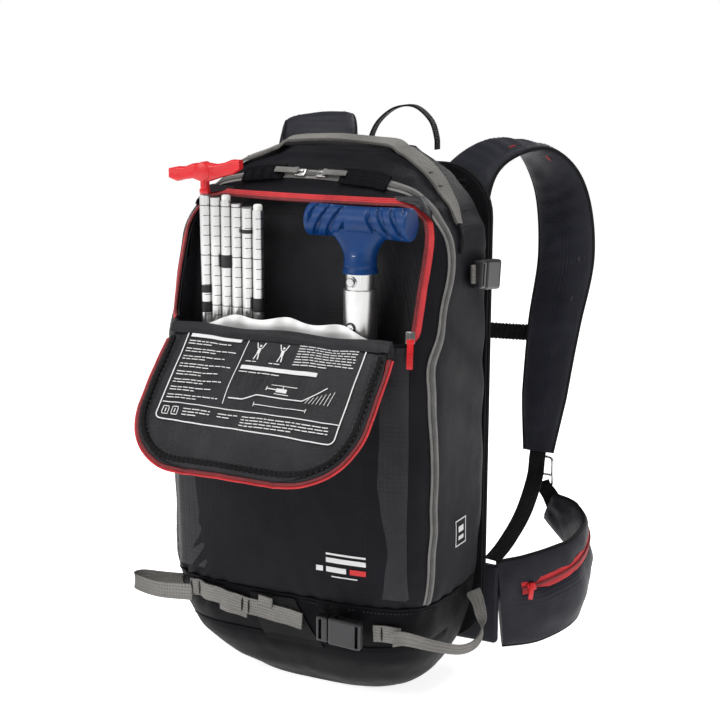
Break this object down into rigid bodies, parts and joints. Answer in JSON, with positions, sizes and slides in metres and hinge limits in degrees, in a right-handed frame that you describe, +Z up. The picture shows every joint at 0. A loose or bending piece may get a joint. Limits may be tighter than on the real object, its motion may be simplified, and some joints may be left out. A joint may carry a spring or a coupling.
{
  "type": "avalanche airbag backpack",
  "caption": "Soft avalanche airbag backpack standing upright, its tool flap open on a folded probe and a shovel, with padded shoulder straps, a hip belt and buckles.",
  "frame": {"origin": "centre of the flat base, on the floor", "axes": "+Z up; -Y is the front with the tool pocket; +Y is the padded back; +X is the wearer's right"},
  "size_m": [0.4392, 0.4816, 0.5946],
  "materials": {
    "shell_fabric": "coated woven nylon, matt black",
    "lining_fabric": "smooth black lining",
    "padding_fabric": "charcoal nylon over foam",
    "black_webbing": "woven black webbing",
    "grey_webbing": "woven grey webbing",
    "buckle_plastic": "moulded black acetal",
    "zip_metal": "grey painted slider",
    "red_slider": "red painted slider",
    "alloy": "satin aluminium",
    "steel": "satin steel",
    "grip_plastic": "blue moulded plastic",
    "handle_plastic": "red moulded plastic",
    "frame_plastic": "polyethylene sheet",
    "bladder_nylon": "folded orange coated nylon"
  },
  "bodies": {
    "pack": {"base_panel": "shell_fabric", "rear_shell": "shell_fabric", "frame_sheet": "frame_plastic", "frame_stay_left": "alloy", "frame_stay_right": "alloy", "back_pad": "padding_fabric", "airbag_bladder": "bladder_nylon", "inflation_unit": "buckle_plastic", "gas_cylinder": "steel", "pressure_gauge": "steel", "trigger_cable": "black_webbing", "shoulder_strap_left": "padding_fabric", "shoulder_strap_right": "padding_fabric", "strap_webbing_left": "black_webbing", "strap_webbing_right": "black_webbing", "base_web_left": "grey_webbing", "base_web_right": "grey_webbing", "base_loop_left": "grey_webbing", "base_loop_right": "grey_webbing", "base_buckle_socket": "buckle_plastic", "side_buckle_left_socket": "buckle_plastic", "side_buckle_right_socket": "buckle_plastic", "sternum_buckle_socket": "buckle_plastic", "sternum_strap_left": "black_webbing", "top_handle": "grey_webbing", "hang_loop": "black_webbing"},
    "door": {"front_panel": "shell_fabric", "tool_pocket": "lining_fabric"},
    "flap": {"flap_panel": "lining_fabric"},
    "probe": {"probe_section_1": "alloy", "probe_section_2": "alloy", "probe_section_3": "alloy", "probe_section_4": "alloy", "probe_section_5": "alloy", "probe_section_6": "alloy"},
    "probe_pull": {"probe_handle": "handle_plastic"},
    "shovel_shaft": {"shaft_outer": "alloy"},
    "shovel_handle": {"shaft_inner": "alloy", "shovel_grip": "grip_plastic"},
    "blade": {"shovel_blade": "alloy"},
    "low_button": {"shaft_button_1": "steel"},
    "high_button": {"shaft_button_2": "steel"},
    "base_plug": {"base_buckle_plug": "buckle_plastic"},
    "side_plug_left": {"side_buckle_left_plug": "buckle_plastic"},
    "side_plug_right": {"side_buckle_right_plug": "buckle_plastic"},
    "sternum_plug": {"sternum_buckle_plug": "buckle_plastic", "sternum_strap_right": "black_webbing"},
    "belt_left": {"belt_wing_left": "padding_fabric", "belt_buckle_left": "alloy"},
    "belt_right": {"belt_wing_right": "padding_fabric", "belt_buckle_right": "alloy"},
    "trigger": {"trigger_handle": "handle_plastic"},
    "zip_left": {"main_zip_slider_left": "zip_metal"},
    "zip_right": {"main_zip_slider_right": "zip_metal"},
    "zip_pocket": {"pocket_zip_slider": "red_slider"}
  },
  "joints": [
    {"name": "main_door", "type": "hinge", "parent": "pack", "child": "door", "pos_m": [0, -0.115, 0.114], "axis": [1, 0, 0], "range_deg": [0, 60]},
    {"name": "front_flap", "type": "hinge", "parent": "door", "child": "flap", "pos_m": [0, -0.1217, 0.382], "axis": [1, 0, 0], "range_deg": [-142, 0]},
    {"name": "probe_lift", "type": "slide", "parent": "door", "child": "probe", "axis": [0, 0, 1], "range_m": [0, 0.27]},
    {"name": "probe_cable_pull", "type": "slide", "parent": "probe", "child": "probe_pull", "axis": [0, 0, 1], "range_m": [0, 0.25]},
    {"name": "shovel_lift", "type": "slide", "parent": "door", "child": "shovel_shaft", "axis": [0, 0, 1], "range_m": [0, 0.25]},
    {"name": "shaft_extend", "type": "slide", "parent": "shovel_shaft", "child": "shovel_handle", "axis": [0, 0, 1], "range_m": [0, 0.06]},
    {"name": "blade_lift", "type": "slide", "parent": "door", "child": "blade", "axis": [0, 0, 1], "range_m": [0, 0.24]},
    {"name": "low_button_press", "type": "slide", "parent": "shovel_shaft", "child": "low_button", "axis": [0, 1, 0], "range_m": [0, 0.0015], "stiffness_N_per_m": 200},
    {"name": "high_button_press", "type": "slide", "parent": "shovel_handle", "child": "high_button", "axis": [0, 1, 0], "range_m": [0, 0.0015], "stiffness_N_per_m": 200},
    {"name": "base_buckle_release", "type": "slide", "parent": "pack", "child": "base_plug", "axis": [-0.9988, 0, 0.0499], "range_m": [0, 0.022]},
    {"name": "side_buckle_left_release", "type": "slide", "parent": "pack", "child": "side_plug_left", "axis": [0, -0.9929, 0.1191], "range_m": [0, 0.03]},
    {"name": "side_buckle_right_release", "type": "slide", "parent": "pack", "child": "side_plug_right", "axis": [0, -0.9929, 0.1191], "range_m": [0, 0.03]},
    {"name": "sternum_buckle_release", "type": "slide", "parent": "pack", "child": "sternum_plug", "axis": [1, 0, 0], "range_m": [0, 0.03]},
    {"name": "belt_swing_left", "type": "hinge", "parent": "pack", "child": "belt_left", "pos_m": [-0.1535, 0.084, 0.066], "axis": [0, 0, 1], "range_deg": [-12, 40]},
    {"name": "belt_swing_right", "type": "hinge", "parent": "pack", "child": "belt_right", "pos_m": [0.1535, 0.084, 0.066], "axis": [0, 0, 1], "range_deg": [-40, 12]},
    {"name": "trigger_pull", "type": "slide", "parent": "pack", "child": "trigger", "axis": [0, 0, -1], "range_m": [0, 0.04]},
    {"name": "main_zip_left_run", "type": "slide", "parent": "door", "child": "zip_left", "axis": [-1, 0, 0], "range_m": [0, 0.045]},
    {"name": "main_zip_right_run", "type": "slide", "parent": "door", "child": "zip_right", "axis": [1, 0, 0], "range_m": [0, 0.045]},
    {"name": "pocket_zip_run", "type": "slide", "parent": "door", "child": "zip_pocket", "axis": [0, 0.2873, 0.9578], "range_m": [0, 0.01]}
  ]
}
